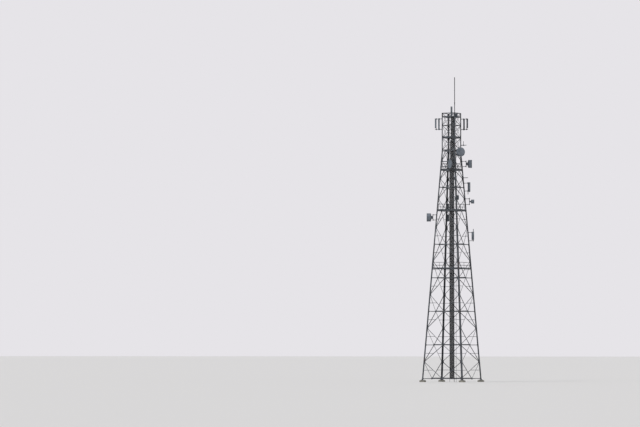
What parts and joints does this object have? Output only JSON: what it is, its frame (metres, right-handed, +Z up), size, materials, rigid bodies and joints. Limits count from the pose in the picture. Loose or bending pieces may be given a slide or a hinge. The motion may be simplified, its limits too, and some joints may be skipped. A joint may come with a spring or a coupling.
{
  "type": "lattice cell tower, half-scale model",
  "caption": "Half-scale model of a four-legged lattice cell tower with platforms, ladders, dish and panel antennas and a lightning rod.",
  "frame": {"origin": "middle of the underside of the front right footing, at ground level", "axes": "+Z up, +X to the right along the front face, +Y from the front face to the back"},
  "size_m": [4.055, 4.055, 25.42],
  "materials": {
    "galvanised_steel": "weathered hot-dip galvanised steel, matt grey",
    "concrete": "weathered cast concrete",
    "radome": "pale grey moulded plastic",
    "painted_grey": "pale grey enamel on aluminium",
    "cable_sheath": "black polyethylene"
  },
  "bodies": {
    "root": {"base_plates": "galvanised_steel", "bracing_back": "galvanised_steel", "bracing_front": "galvanised_steel", "bracing_left": "galvanised_steel", "bracing_right": "galvanised_steel", "cable_ladder": "galvanised_steel", "cage_bracing_back": "galvanised_steel", "cage_bracing_front": "galvanised_steel", "cage_bracing_left": "galvanised_steel", "cage_bracing_right": "galvanised_steel", "climbing_ladder": "galvanised_steel", "deck_cage": "galvanised_steel", "deck_lower": "galvanised_steel", "deck_middle": "galvanised_steel", "deck_top": "galvanised_steel", "deck_upper": "galvanised_steel", "dish_front": "radome", "dish_mount_front": "galvanised_steel", "dish_mount_right": "galvanised_steel", "dish_right": "radome", "drum_left": "radome", "drum_mount_left": "galvanised_steel", "drum_mount_right": "galvanised_steel", "drum_right": "radome", "feeder_cables": "cable_sheath", "footings": "concrete", "guard_rails": "galvanised_steel", "ladder_brackets": "galvanised_steel", "leg_cage_back_left": "galvanised_steel", "leg_cage_back_right": "galvanised_steel", "leg_cage_front_left": "galvanised_steel", "leg_cage_front_right": "galvanised_steel", "leg_lower_back_left": "galvanised_steel", "leg_lower_back_right": "galvanised_steel", "leg_lower_front_left": "galvanised_steel", "leg_lower_front_right": "galvanised_steel", "leg_upper_back_left": "galvanised_steel", "leg_upper_back_right": "galvanised_steel", "leg_upper_front_left": "galvanised_steel", "leg_upper_front_right": "galvanised_steel", "lightning_rod": "galvanised_steel", "low_panel": "radome", "low_panel_mount": "galvanised_steel", "mast_antenna": "radome", "mast_pole": "galvanised_steel", "panel_mount_right": "galvanised_steel", "panel_right": "radome", "plan_bracing": "galvanised_steel", "platform_frames": "galvanised_steel", "radio_boxes": "painted_grey", "side_arm_left": "galvanised_steel", "side_arm_right": "galvanised_steel", "side_panels_left": "radome", "side_panels_right": "radome", "small_dish": "radome", "small_dish_mount": "galvanised_steel", "spare_arms": "galvanised_steel"}
  },
  "joints": []
}
